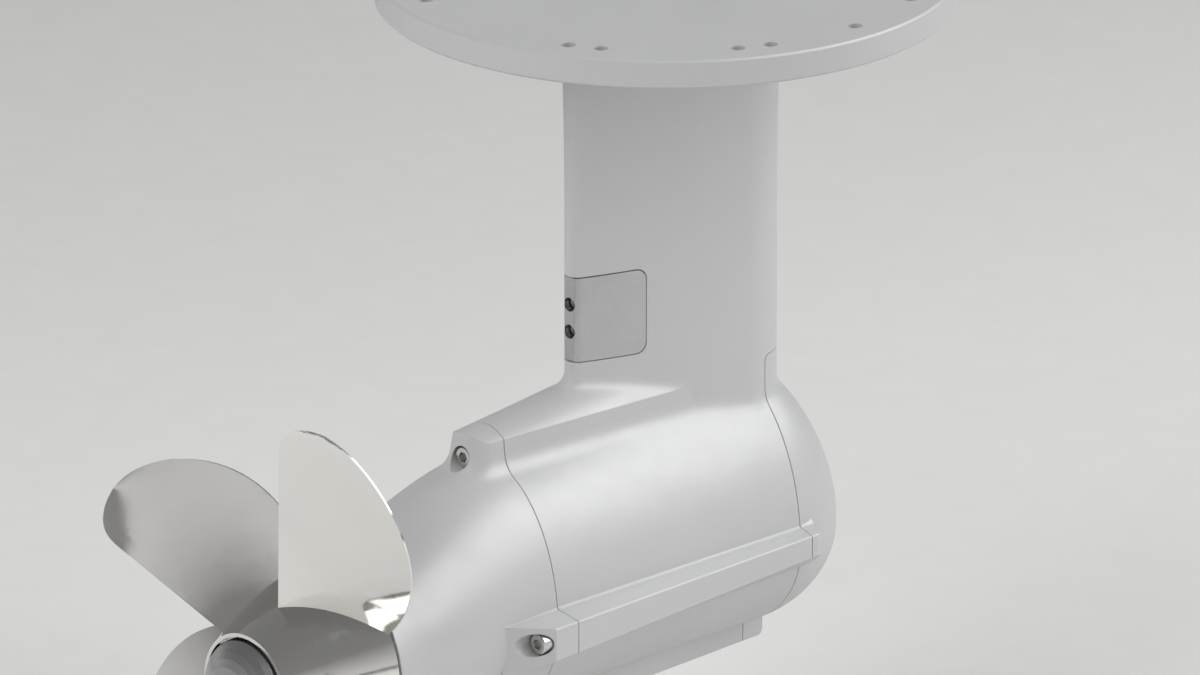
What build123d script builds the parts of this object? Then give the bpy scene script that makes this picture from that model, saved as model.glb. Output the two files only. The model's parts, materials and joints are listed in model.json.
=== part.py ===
from build123d import *
import math
import os

# Pod drive for a boat: an electric motor in a streamlined housing, hung under the hull on a strut.
# Origin: centre of the flange's upper face, which lies against the hull.
# +X points to the bow (the housing's nose), +Y to port, +Z up. All lengths are in millimetres.

# Mounting flange
flange_d = 360.0
flange_t = 18.0
flange_chamfer = 1.2
hull_bolt_rim = 20.0
hull_bolt_circle_d = flange_d - 2 * hull_bolt_rim
hull_hole_d = 9.0
octet_first_angle = 22.5
octet_count = 8
dozen_count = 12

# Cable exit in the middle of the flange
cable_x = 25.0
cable_hole_r = 24.0
socket_plate_r = 36.0
socket_plate_t = 6.0
plate_screw_circle_r = 31.0
plate_screw_count = 6
plate_screw_r = 2.0
plate_screw_head_r = 3.5
plate_screw_head_h = 2.2
plate_screw_length = 12.0
plate_seal_inner_r = 25.5
seal_width = 2.2
seal_depth = 1.8
flange_seal_rim = 3.0
socket_plate_gap = 0.1
power_socket_r = 10.0
signal_socket_r = 6.5
socket_height = 22.0
socket_flange_t = 2.5
socket_flange_rim = 2.0
socket_wall = 1.6
socket_floor_z = 6.0
socket_pin_r = 1.5
socket_pin_length = 10.0
signal_pin_offset = 2.2

# Strut: round leading and trailing edges joined by bowed flanks; each lean is the flank's slope there
strut_lead_r = 40.5
strut_lead_x = 40.5
strut_lead_lean = 0.17
strut_trail_r = 8.0
strut_trail_x = -78.2
strut_trail_lean = 0.45
strut_top_swell = 2.2
strut_top_swell_height = 120.0
strut_wall = 7.0
strut_head_t = 16.0
strut_web_x = -26.0
strut_floor_above_axis = 112.0
strut_foot_above_axis = 60.0
strut_root_r = 11.5
strut_screw_places = [(-62.0, 0.0), (-14.0, 20.0), (-14.0, -20.0),
                      (61.0, 24.0), (61.0, -24.0), (73.0, 0.0)]
strut_screw_r = 3.0
strut_screw_head_r = 6.0
strut_screw_head_h = 3.4
strut_screw_length = 31.0
flat_head_socket_share = 0.75

# Sacrificial anode let into the trailing edge
anode_front_x = -41.0
anode_back_x = -85.2
anode_top_z = -180.3
anode_bottom_z = -234.7
anode_corner_r = 7.0
anode_gap = 0.6
anode_screw_z = [-198.2, -215.8]
anode_screw_r = 2.0
anode_screw_head_r = 3.5
anode_screw_head_h = 4.0
anode_screw_seat_x = -76.6
anode_screw_length = 46.0
anode_notch_r = 4.4
anode_margin = 20.0
anode_socket_r = 1.8

# Motor housing: egg-shaped sections about the propeller axis
axis_z = -375.0
tail_x = -291.5
aft_seam_x = -159.0
front_seam_x = 46.5
tail_r = 61.5
aft_half_width = 63.0
aft_top = 97.0
aft_bottom = 64.0
front_half_width = 71.5
front_top = 111.0
front_bottom = 63.5
nose_length = 76.8
nose_top_power = 1.37
nose_tip_angle = 87.5
nose_seam_above_axis = 120.0
nose_seam_corner_r = 4.0
nose_region_depth = 120.0
seam_gap = 0.5
gasket_inset = 1.5

# Ridge on top: level creases and a crown that rises towards the strut
ridge_half_aft = 16.2
ridge_spread = 0.098
ridge_crease = 112.0
ridge_top_aft = 118.3
ridge_rise = 0.082
ridge_foot = 55.0
ridge_side_lean = 0.09
ridge_end_x = 20.0
ridge_lug_x = -176.9
ridge_lug_lean = 0.16
ridge_lug_r = 11.0
ridge_root_r = 18.0

# Side rails: an upright face, a shelf above it and a slope below it
rail_face_aft = 80.8
rail_face_front = 81.6
rail_top_aft = 9.8
rail_top_front = 10.9
rail_bottom_aft = -10.9
rail_bottom_front = -3.3
rail_shelf_reach = 3.5
rail_shelf_rise = 2.6
rail_root_rise = 12.0
rail_root_sink = 3.6
rail_slope_drop = 10.0
rail_slope_sink = 3.2
rail_heel_drop = 3.0
rail_root_bite = 14.0
rail_edge_r = 1.2
rail_nose_x = 58.0
rail_nose_r = 7.0
rail_lug_x = -178.0
rail_lug_reach = 27.0
rail_lug_bite = 2.0

# Keel rail below
keel_half_aft = 24.0
keel_half_front = 21.5
keel_bottom_aft = -76.0
keel_bottom_front = -75.0
keel_draft = 0.5
keel_bite = 10.0
keel_edge_r = 1.5
keel_nose_x = 64.5
keel_nose_r = 5.0
keel_lug_reach = 14.0
keel_lug_rise = 24.0

# Tie bolts that clamp tail cover, housing and nose cover together
tie_bolt_r = 4.0
tie_bolt_clearance = 0.25
tie_head_r = 6.5
tie_head_h = 8.0
tie_socket_r = 3.5
tie_socket_depth = 4.0
tie_head_chamfer = 0.6
tie_tip_gap = 1.0
tie_top_above_axis = 101.0
tie_side_y = 72.5
tie_bottom_below_axis = 66.5
tie_top_head_x = -178.0
tie_side_head_x = -186.5
tie_tip_x = 56.0
tie_pocket_r = 7.4
tie_pocket_length = 40.0

# Motor
motor_bore_r = 54.0
stator_front_x = 0.0
stator_length = 110.0
stator_inner_r = 40.0
slot_count = 12
tooth_width = 10.0
tooth_tip_r = 42.5
slot_opening = 2.0
back_iron_t = 5.0
coil_width = 4.6
coil_clearance = 0.2
coil_bend_r = 3.7
air_gap = 0.8
magnet_t = 3.2
magnet_count = 10
magnet_share = 0.88
rotor_window_r = 6.0
rotor_window_circle_r = 25.5
rotor_window_count = 6
key_width = 8.0
key_height = 7.0
key_length = 60.0

# Shaft and bearings
shaft_r = 15.0
journal_r = 12.5
front_journal_r = 10.0
front_bearing_x = 34.0
front_bearing_width = 12.0
front_bearing_r = 21.0
front_ball_r = 3.17
front_ball_count = 9
shaft_tip_stand = 1.0
rear_bearing_x = -185.0
rear_bearing_width = 15.0
rear_bearing_r = 26.0
rear_ball_r = 3.97
rear_ball_count = 9
ball_running_gap = 0.3
race_seat_gap = 0.05
race_land_share = 0.45
carrier_t = 12.5
carrier_flange_t = 5.0
carrier_flange_r = 60.0
carrier_lip = 3.0
carrier_root = 2.0
carrier_gap = 0.1
carrier_screw_circle_r = 57.2
carrier_screw_count = 6
carrier_screw_r = 1.8
carrier_screw_head_r = 2.8
carrier_screw_head_h = 3.0
carrier_screw_length = 16.0
bearing_nut_r = 15.0
bearing_nut_t = 6.0
nose_cavity_r = 58.5
nose_cavity_depth = 62.0

# Tail cover's inside and the shaft seals
tail_tube_r = 34.0
tail_cavity_r = 54.0
tail_cavity_end_x = -262.0
tail_rib_count = 6
tail_rib_t = 6.0
tail_rib_setback = 25.0
tail_bore_r = 14.0
shaft_seal_r = 20.0
shaft_seal_width = 7.0
shaft_seal_count = 2
shaft_seal_gap = 0.05
shaft_seal_play = 0.4
retaining_ring_t = 1.5
retaining_ring_bite = 1.2
retaining_ring_inner_r = 17.0
retaining_ring_depth = 1.0
retaining_ring_mouth = 10.0

# Propeller: its hub, and blades on a screw surface
hub_front_x = -293.8
hub_length = 71.4
hub_aft_x = hub_front_x - hub_length
hub_front_r = 61.6
hub_aft_r = 35.3
hub_bulge = 1.2
hub_wall = 6.0
hub_tube_r = 29.0
hub_web_setback = 19.2
hub_rim_wall = 2.3
hub_recess_depth = 13.2
blade_count = 5
blade_pitch = 276.0
blade_setback = 26.2
blade_trail_angle = -2.45
blade_sweep = 60.0
blade_scale_r = 180.0
blade_tilt = 12.0
blade_rake = 0.027
blade_rake_r = 90.0
blade_root_level = 31.0
blade_root_t = 8.0
blade_tip_t = 2.8
blade_edge_t = 1.2
blade_chord_steps = 8

# Blade outline: its radius is blade_scale_r times this polynomial in the share of the sweep
blade_outline = [0.8802, 0.8258, -3.6373, 4.6306, -2.453]
blade_corner_drop = 0.053
blade_corner_angle = 0.7
blade_level_shares = [0.0, 0.117, 0.234, 0.357, 0.481, 0.605, 0.722,
                      0.824, 0.868, 0.9, 0.955, 0.988, 0.998]

# What the propeller turns on, from the thrust washer aft to the cap
drive_setback = 4.2
drive_front_x = hub_front_x - drive_setback
drive_aft_setback = 20.2
drive_aft_x = hub_aft_x + drive_aft_setback
bush_r = 24.0
sleeve_r = 17.0
spline_root_r = 10.0
spline_tip_r = 11.6
spline_teeth = 10
spline_tooth_width = 3.0
spline_clearance = 0.08
thrust_washer_r = 22.0
thrust_washer_t = 4.0
prop_washer_r = 22.0
prop_washer_t = 3.5
thread_r = 8.0
nut_flats = 24.0
nut_height = 9.0
nut_crown_height = 4.5
nut_crown_r = 10.5
nut_slot_width = 3.6
nut_slot_count = 3
shaft_overhang = 5.8
shaft_end_x = hub_aft_x - shaft_overhang
cotter_r = 1.5
cotter_length = 27.0
cone_r = 31.6
cone_sink = 7.7
cone_skirt_x = hub_aft_x + cone_sink
cone_length = 25.5
cone_tip_x = cone_skirt_x - cone_length
cone_rim_h = 5.0
cone_wall = 5.0
cone_nut_gap = 1.0
cone_screw_r = 3.0
cone_screw_head_r = 5.0
cone_screw_head_h = 5.0
cone_screw_head_gap = 0.3
cone_screw_length = 14.0
cone_screw_socket_r = 2.5

# Leads inside the strut: three power leads in a triangle, one signal lead
power_y = -14.5
lead_r = 3.0
lead_circle_r = 4.4
lead_count = 3
signal_y = 14.0
signal_lead_r = 2.2
passage_gap = 1.0
passage_bite = 10.0
terminal_bottom_above_axis = 36.0
terminal_top_above_axis = 47.0
terminal_wall = 1.0
sensor_board_t = 1.6
sensor_board_width = 24.0
sensor_board_height = 17.0
sensor_board_low = 28.0
sensor_spacer_r = 2.5
sensor_spacer_length = 3.5
sensor_spacer_pitch = 14.0

# Cutting tools reach past the faces they cut: a little by one value, right out of the part by the other
over = 1.0
far = 500.0
half_turn = 180.0
pod_axis = Axis((0, 0, axis_z), (1, 0, 0))


# Helpers

def across(x):
    """Plane square to the propeller axis: its first direction is +Y, its second +Z."""
    return Plane(origin=(x, 0, axis_z), x_dir=(0, 1, 0), z_dir=(1, 0, 0))


def turned(*profile):
    """Solid of revolution about the propeller axis, from (x, radius) corners."""
    corners = [(x, 0, axis_z + r) for x, r in profile]
    outline = Polyline(*corners, close=True)
    return revolve(make_face(outline), axis=pod_axis)


def ring(x_low, x_high, inner_r, outer_r):
    """Ring about the propeller axis, or a disc where the inner radius is 0."""
    return turned((x_low, inner_r), (x_high, inner_r), (x_high, outer_r), (x_low, outer_r))


def rod_x(x_low, x_high, y, above_axis, radius):
    """Round bar parallel to the propeller axis."""
    place = Plane(origin=(x_low, y, axis_z + above_axis), x_dir=(0, 1, 0), z_dir=(1, 0, 0))
    return extrude(place * Circle(radius), amount=x_high - x_low)


def rod_z(x, y, z_low, z_high, radius):
    """Upright round bar."""
    return extrude(Plane(origin=(x, y, z_low)) * Circle(radius), amount=z_high - z_low)


def block(x_low, x_high, y_low, y_high, z_low, z_high):
    """Box between two corners."""
    centre = ((x_low + x_high) / 2, (y_low + y_high) / 2, (z_low + z_high) / 2)
    return Pos(*centre) * Box(x_high - x_low, y_high - y_low, z_high - z_low)


def around(shape, angle):
    """Copy of a shape turned about the propeller axis."""
    return shape.rotate(pod_axis, angle)


def between(x, low_value, high_value):
    """Value at x of what changes evenly from the aft seam to the front seam."""
    share = (x - aft_seam_x) / (front_seam_x - aft_seam_x)
    return low_value + (high_value - low_value) * share


# Outer shape of the housing

def egg(x, half_width, top, bottom):
    """Section across the housing: a tall upper half and a round lower half."""
    upper = EllipticalCenterArc((0, 0), half_width, top, start_angle=0, arc_size=half_turn)
    lower = EllipticalCenterArc((0, 0), half_width, bottom, start_angle=half_turn, arc_size=half_turn)
    return across(x) * make_face([upper, lower])


def middle_egg(x, inset=0.0):
    half_width = between(x, aft_half_width, front_half_width) - inset
    top = between(x, aft_top, front_top) - inset
    bottom = between(x, aft_bottom, front_bottom) - inset
    return egg(x, half_width, top, bottom)


def tail_body():
    """Tapers from the aft seam to the round end beside the propeller."""
    sections = []
    steps = 6
    for step in range(steps + 1):
        share = step / steps
        ease = share * share * (3 - 2 * share)
        x = tail_x + (aft_seam_x - tail_x) * share
        half_width = tail_r + (aft_half_width - tail_r) * share
        top = tail_r + (aft_top - tail_r) * ease
        bottom = tail_r + (aft_bottom - tail_r) * share
        sections.append(egg(x, half_width, top, bottom))
    return loft(sections)


def nose_body():
    """Rounded nose whose upper half leans back to the strut."""
    sections = []
    steps = 8
    for step in range(steps + 1):
        angle = math.radians(nose_tip_angle * step / steps)
        left_over = math.cos(angle) ** 2
        x = front_seam_x + nose_length * math.sin(angle)
        half_width = front_half_width * math.sqrt(left_over)
        top = front_top * left_over ** (1 / nose_top_power)
        bottom = front_bottom * math.sqrt(left_over)
        sections.append(egg(x, half_width, top, bottom))
    return loft(sections)


def ridge_section(x):
    """Crowned top between two creases, with sides that lean outwards a little."""
    along = x - aft_seam_x
    half = ridge_half_aft + ridge_spread * along
    foot_half = half + ridge_side_lean * (ridge_crease - ridge_foot)
    top = ridge_top_aft + ridge_rise * along
    crown = ThreePointArc((-half, ridge_crease), (0, top), (half, ridge_crease))
    sides = Polyline((half, ridge_crease), (foot_half, ridge_foot), (-foot_half, ridge_foot),
                     (-half, ridge_crease))
    return across(x) * make_face([crown, sides])


def ridge_body():
    """Ridge from the upper bolt lug to where the strut's flanks take over from its sides."""
    overhang = ridge_lug_lean * (ridge_top_aft - ridge_foot)
    body = loft([ridge_section(ridge_lug_x - overhang), ridge_section(ridge_end_x)], ruled=True)
    aft = Polyline((ridge_lug_x, 0, axis_z + ridge_top_aft),
                   (ridge_lug_x - overhang, 0, axis_z + ridge_foot),
                   (ridge_lug_x - far, 0, axis_z + ridge_foot),
                   (ridge_lug_x - far, 0, axis_z + ridge_top_aft), close=True)
    body -= extrude(make_face(aft), amount=far / 2, both=True)
    height = ridge_crease - ridge_foot - over
    upright = body.edges().filter_by(lambda edge: edge.bounding_box().size.Z > height)
    return fillet(upright.filter_by(lambda edge: edge.center().X < aft_seam_x), ridge_lug_r)


def rail_section(x, side):
    """Section of a side rail, with its inner part sunk into the housing."""
    face = side * between(x, rail_face_aft, rail_face_front)
    top = between(x, rail_top_aft, rail_top_front)
    bottom = between(x, rail_bottom_aft, rail_bottom_front)
    wall = between(x, aft_half_width, front_half_width)
    shelf = side * (wall + rail_shelf_reach)
    shelf_z = top + rail_shelf_rise
    root = side * (wall - rail_root_sink)
    root_z = shelf_z + rail_root_rise
    slope = side * (wall - rail_slope_sink)
    slope_z = bottom - rail_slope_drop
    heel_z = slope_z - rail_heel_drop
    inside = side * (wall - rail_root_bite)
    blend = Bezier((shelf, shelf_z), (root, shelf_z), (root, root_z))
    rest = Polyline((root, root_z), (inside, root_z), (inside, heel_z), (slope, slope_z), (face, bottom),
                    (face, top), (shelf, shelf_z))
    section = make_face([blend, rest])
    outer_corners = section.vertices().sort_by(lambda corner: abs(corner.X))[-3:]
    return across(x) * fillet(outer_corners, rail_edge_r)


def rail_body(side):
    """Side rail from its bolt lug to the nose cover."""
    aft = rail_section(rail_lug_x - rail_lug_reach, side)
    front = rail_section(rail_nose_x, side)
    body = loft([aft, front], ruled=True)
    inner_y = side * (aft_half_width - rail_lug_bite)
    cut = Polyline((rail_lug_x, side * rail_face_aft, axis_z),
                   (rail_lug_x - rail_lug_reach, inner_y, axis_z),
                   (rail_lug_x - far, inner_y, axis_z),
                   (rail_lug_x - far, side * far, axis_z),
                   (rail_lug_x, side * far, axis_z), close=True)
    body -= extrude(make_face(cut), amount=far / 2, both=True)
    face = side * between(rail_nose_x, rail_face_aft, rail_face_front)
    centre = (rail_nose_x - rail_nose_r, face - side * rail_nose_r)
    outside = face + side * over
    corner = block(centre[0], rail_nose_x + over, min(centre[1], outside), max(centre[1], outside),
                   axis_z - far, axis_z + far)
    return body - (corner - rod_z(*centre, axis_z - far, axis_z + far, rail_nose_r))


def keel_section(x):
    """Flat-bottomed rail below the housing."""
    half = between(x, keel_half_aft, keel_half_front)
    bottom = between(x, keel_bottom_aft, keel_bottom_front)
    inside = keel_bite - between(x, aft_bottom, front_bottom)
    corners = [(-half, bottom), (half, bottom), (half + keel_draft, inside), (-half - keel_draft, inside)]
    section = make_face(Polyline(*corners, close=True))
    return across(x) * fillet(section.vertices().sort_by(Axis.Y)[:2], keel_edge_r)


def keel_body():
    """Keel rail from its bolt lug to its rounded end under the nose."""
    body = loft([keel_section(rail_lug_x - keel_lug_reach), keel_section(keel_nose_x)], ruled=True)
    low = axis_z + keel_bottom_aft
    lean = Polyline((rail_lug_x, 0, low),
                    (rail_lug_x - keel_lug_reach, 0, low + keel_lug_rise),
                    (rail_lug_x - far, 0, low + keel_lug_rise),
                    (rail_lug_x - far, 0, low), close=True)
    body -= extrude(make_face(lean), amount=far / 2, both=True)
    bottom = axis_z + between(keel_nose_x, keel_bottom_aft, keel_bottom_front)
    centre = (keel_nose_x - keel_nose_r, bottom + keel_nose_r)
    corner = block(centre[0], keel_nose_x + over, -far, far, bottom - over, centre[1])
    side_view = Plane(origin=(centre[0], far, centre[1]), x_dir=(1, 0, 0), z_dir=(0, -1, 0))
    return body - (corner - extrude(side_view * Circle(keel_nose_r), amount=2 * far))


# Strut

def strut_outline(grow=0.0):
    """Strut section at the origin, grown outwards by one offset."""
    lead_r = strut_lead_r + grow
    trail_r = strut_trail_r + grow
    lead_angle = math.atan(strut_lead_lean)
    trail_angle = math.atan(strut_trail_lean)
    lead = (strut_lead_x - lead_r * math.sin(lead_angle), lead_r * math.cos(lead_angle))
    trail = (strut_trail_x - trail_r * math.sin(trail_angle), trail_r * math.cos(trail_angle))
    third = (lead[0] - trail[0]) / 3
    flank = [trail, (trail[0] + third, trail[1] + third * strut_trail_lean),
             (lead[0] - third, lead[1] - third * strut_lead_lean), lead]
    other_flank = [(x, -y) for x, y in reversed(flank)]
    front = ThreePointArc(lead, (strut_lead_x + lead_r, 0), other_flank[0])
    back = ThreePointArc(other_flank[-1], (strut_trail_x - trail_r, 0), trail)
    return make_face([Bezier(*flank), front, Bezier(*other_flank), back])


def strut_body():
    """Strut from the flange down into the housing, a little thicker at its head."""
    swell_low = -flange_t - strut_top_swell_height
    sections = []
    steps = 3
    for step in range(steps + 1):
        share = step / steps
        z = swell_low + strut_top_swell_height * share
        sections.append(Plane(origin=(0, 0, z)) * strut_outline(strut_top_swell * share * share))
    head = loft(sections)
    foot_z = axis_z + strut_foot_above_axis
    foot = extrude(Plane(origin=(0, 0, foot_z)) * strut_outline(), amount=swell_low - foot_z)
    return head + foot


def anode_region(gap):
    """Rounded window in side view that the anode fills."""
    low = anode_bottom_z - gap
    high = anode_top_z + gap
    front = anode_front_x + gap
    back = anode_back_x - anode_margin
    window = Pos((front + back) / 2, (low + high) / 2) * Rectangle(front - back, high - low)
    corners = window.vertices().sort_by(Axis.X)[2:]
    window = fillet(corners, anode_corner_r)
    side_view = Plane(origin=(0, 0, 0), x_dir=(1, 0, 0), z_dir=(0, -1, 0))
    return extrude(side_view * window, amount=far / 4, both=True)


# Split of the outer shape into covers

def nose_region(gap):
    """Everything ahead of the front seam and below the seam across the strut."""
    back = front_seam_x + gap
    high = axis_z + nose_seam_above_axis - gap
    low = axis_z - nose_region_depth
    window = Pos((back + far) / 2, (low + high) / 2) * Rectangle(far - back, high - low)
    corner = window.vertices().group_by(Axis.X)[0].sort_by(Axis.Y)[-1]
    window = fillet(corner, nose_seam_corner_r)
    side_view = Plane(origin=(0, 0, 0), x_dir=(1, 0, 0), z_dir=(0, -1, 0))
    return extrude(side_view * window, amount=far / 4, both=True)


def crown_edges(body):
    """Edges where the strut stands on the ridge's crown."""
    low = axis_z + ridge_crease + over
    high = axis_z + ridge_top_aft + ridge_rise * (ridge_end_x - aft_seam_x)
    back = strut_trail_x - strut_trail_r - over
    return body.edges().filter_by_position(Axis.Z, low, high).filter_by_position(Axis.X, back, 0)


def outer_shape():
    """Housing, ridge and strut blended into each other, with the rails and the keel."""
    middle = loft([middle_egg(aft_seam_x), middle_egg(front_seam_x)], ruled=True)
    core = tail_body() + middle + nose_body()
    upper = ridge_body() + strut_body()
    body = core + upper
    body = fillet(new_edges(core, upper, combined=body), ridge_root_r)
    body = fillet(crown_edges(body), strut_root_r)
    for rail in (rail_body(1), rail_body(-1), keel_body()):
        body += rail
    return body


def tie_bolt_places():
    """Height above the axis, offset to port and head position of each tie bolt."""
    return [(tie_top_above_axis, 0.0, tie_top_head_x),
            (0.0, tie_side_y, tie_side_head_x),
            (0.0, -tie_side_y, tie_side_head_x),
            (-tie_bottom_below_axis, 0.0, tie_side_head_x)]


def tie_bolt_bores():
    """Clearance holes and head pockets for the tie bolts."""
    bores = []
    radius = tie_bolt_r + tie_bolt_clearance
    for above, y, head_x in tie_bolt_places():
        seat_x = head_x + tie_head_h
        bores.append(rod_x(seat_x, tie_tip_x, y, above, radius))
        bores.append(rod_x(head_x - tie_pocket_length, seat_x, y, above, tie_pocket_r))
    return bores


# Flange and what is fastened to it

def hull_hole_angles():
    octet = [octet_first_angle + 360 / octet_count * k for k in range(octet_count)]
    dozen = [360 / dozen_count * k for k in range(dozen_count) if k % (dozen_count // 2) != 0]
    return octet + dozen


def mounting_flange():
    plate = rod_z(0, 0, -flange_t, 0, flange_d / 2)
    plate = chamfer(plate.edges().filter_by(GeomType.CIRCLE), flange_chamfer)
    for angle in hull_hole_angles():
        x = hull_bolt_circle_d / 2 * math.cos(math.radians(angle))
        y = hull_bolt_circle_d / 2 * math.sin(math.radians(angle))
        plate -= rod_z(x, y, -flange_t, 0, hull_hole_d / 2)
    plate -= rod_z(cable_x, 0, -flange_t, 0, cable_hole_r)
    plate -= rod_z(cable_x, 0, -socket_plate_t, 0, socket_plate_r)
    for x, y in plate_screw_places():
        plate -= rod_z(x, y, -plate_screw_length, 0, plate_screw_r)
    for x, y in strut_screw_places:
        plate -= countersunk_screw(x, y, strut_screw_r, strut_screw_head_r, strut_screw_head_h,
                                   strut_screw_length, 0.0)
    return plate - plate_seal()


def countersunk_screw(x, y, radius, head_r, head_h, length, socket_r):
    """Flat-headed screw whose head is flush with the upper face at z = 0."""
    head = Pos(x, y, -head_h / 2) * Cone(radius, head_r, head_h)
    screw = head + rod_z(x, y, -length, -head_h / 2, radius)
    if socket_r > 0:
        screw -= Pos(x, y, -head_h / 2) * extrude(RegularPolygon(socket_r, 6), amount=head_h)
    return screw


def flange_screws():
    screws = [countersunk_screw(x, y, strut_screw_r, strut_screw_head_r, strut_screw_head_h,
                                strut_screw_length, strut_screw_r * flat_head_socket_share)
              for x, y in strut_screw_places]
    return Compound(screws)


def upright_ring(x, y, z_low, z_high, inner_r, outer_r):
    return rod_z(x, y, z_low, z_high, outer_r) - rod_z(x, y, z_low, z_high, inner_r)


def flange_seal():
    inner = cable_hole_r + flange_seal_rim
    return upright_ring(cable_x, 0, -flange_t - seal_depth, -flange_t, inner, inner + seal_width)


def plate_seal():
    floor = -socket_plate_t
    outer = plate_seal_inner_r + seal_width
    return upright_ring(cable_x, 0, floor - seal_depth, floor, plate_seal_inner_r, outer)


def plate_screw_places():
    places = []
    for k in range(plate_screw_count):
        angle = math.radians(360 / plate_screw_count * k)
        x = cable_x + plate_screw_circle_r * math.cos(angle)
        places.append((x, plate_screw_circle_r * math.sin(angle)))
    return places


def socket_plate():
    plate = rod_z(cable_x, 0, -socket_plate_t, 0, socket_plate_r - socket_plate_gap)
    for x, y in plate_screw_places():
        plate -= countersunk_screw(x, y, plate_screw_r, plate_screw_head_r, plate_screw_head_h,
                                   plate_screw_length, 0.0)
    plate -= rod_z(cable_x, power_y, -socket_plate_t, 0, power_socket_r)
    plate -= rod_z(signal_x(), signal_y, -socket_plate_t, 0, signal_socket_r)
    return plate


def socket_plate_screws():
    screws = [countersunk_screw(x, y, plate_screw_r, plate_screw_head_r, plate_screw_head_h,
                                plate_screw_length, plate_screw_r * flat_head_socket_share)
              for x, y in plate_screw_places()]
    return Compound(screws)


def bulkhead_socket(x, y, radius, pin_places):
    """Round socket with a collar on the plate and upright contact pins in its cup."""
    shell = rod_z(x, y, -socket_plate_t, socket_height, radius)
    shell += rod_z(x, y, 0, socket_flange_t, radius + socket_flange_rim)
    shell -= rod_z(x, y, socket_floor_z, socket_height, radius - socket_wall)
    for pin_x, pin_y in pin_places:
        shell += rod_z(pin_x, pin_y, socket_floor_z, socket_floor_z + socket_pin_length, socket_pin_r)
    return shell


def lead_places():
    """Power leads stand in a circle below the power socket."""
    places = []
    for k in range(lead_count):
        angle = math.radians(360 / lead_count * k - 90)
        x = cable_x + lead_circle_r * math.cos(angle)
        places.append((x, power_y + lead_circle_r * math.sin(angle)))
    return places


def power_socket():
    return bulkhead_socket(cable_x, power_y, power_socket_r, lead_places())


def signal_socket():
    x = signal_x()
    pins = [(x - signal_pin_offset, signal_y), (x + signal_pin_offset, signal_y)]
    return bulkhead_socket(x, signal_y, signal_socket_r, pins)


# Anode

def anode(strut):
    block_in_strut = strut & anode_region(0.0) & block(anode_back_x, far, -far, far, -far, 0)
    for z in anode_screw_z:
        above = z - axis_z
        block_in_strut -= rod_x(-far, anode_screw_seat_x, 0, above, anode_notch_r)
        block_in_strut -= rod_x(anode_screw_seat_x, far, 0, above, anode_screw_r)
    return block_in_strut


def anode_screws():
    screws = []
    for z in anode_screw_z:
        above = z - axis_z
        seat = anode_screw_seat_x
        screw = rod_x(seat - anode_screw_head_h, seat, 0, above, anode_screw_head_r)
        screw += rod_x(seat, seat + anode_screw_length, 0, above, anode_screw_r)
        socket = Plane(origin=(seat - anode_screw_head_h, 0, z), x_dir=(0, 1, 0), z_dir=(1, 0, 0))
        screw -= extrude(socket * RegularPolygon(anode_socket_r, 6), amount=anode_screw_head_h / 2)
        screws.append(screw)
    return Compound(screws)


# Housing parts

def strut_cavity():
    """Hollow of the strut ahead of the web that carries the anode."""
    low = axis_z + strut_floor_above_axis
    high = -flange_t - strut_head_t
    hollow = extrude(Plane(origin=(0, 0, low)) * strut_outline(-strut_wall), amount=high - low)
    return hollow & block(strut_web_x, far, -far, far, low, high)


def lead_passages():
    """Openings between the motor's bore and the hollow of the strut."""
    low = axis_z + motor_bore_r - passage_bite
    high = axis_z + strut_floor_above_axis + over
    return [rod_z(cable_x, power_y, low, high, lead_circle_r + lead_r + passage_gap),
            rod_z(signal_x(), signal_y, low, high, signal_lead_r + passage_gap)]


def strut_housing(outer):
    """Strut and middle of the housing, cast in one piece."""
    shell = outer & block(aft_seam_x + seam_gap, far, -far, far, axis_z - far, -flange_t)
    shell -= nose_region(0.0)
    shell -= anode_region(anode_gap)
    shell -= ring(aft_seam_x - over, far, 0.0, motor_bore_r)
    recess_x = front_seam_x - carrier_flange_t
    shell -= ring(recess_x, front_seam_x + over, 0.0, carrier_flange_r + carrier_gap)
    shell -= strut_cavity()
    shell -= rod_z(cable_x, 0, -flange_t - strut_head_t - over, -flange_t, cable_hole_r)
    for opening in lead_passages():
        shell -= opening
    for bore in tie_bolt_bores():
        shell -= bore
    for x, y in strut_screw_places:
        shell -= rod_z(x, y, -strut_screw_length, -flange_t, strut_screw_r)
    for z in anode_screw_z:
        tip = anode_screw_seat_x + anode_screw_length
        shell -= rod_x(anode_front_x - over, tip, 0, z - axis_z, anode_screw_r)
    for screw in carrier_screw_places():
        shell -= rod_x(recess_x - carrier_screw_length, recess_x, screw[0], screw[1], carrier_screw_r)
    return shell - flange_seal()


def nose_cover(outer):
    """Front cover with the lower part of the strut's leading edge."""
    cover = outer & nose_region(seam_gap)
    x = front_seam_x
    quarter = [(x - over, 0), (x - over, nose_cavity_r)]
    steps = 10
    for step in range(steps + 1):
        angle = math.radians(90 * step / steps)
        depth = nose_cavity_depth * math.sin(angle)
        quarter.append((x + depth, nose_cavity_r * math.cos(angle)))
    cover -= turned(*quarter)
    cover -= ring(x - over, x + carrier_screw_head_h + carrier_gap, 0.0, carrier_flange_r)
    for above, y, head_x in tie_bolt_places():
        cover -= rod_x(front_seam_x - over, tie_tip_x, y, above, tie_bolt_r)
    return cover


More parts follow.
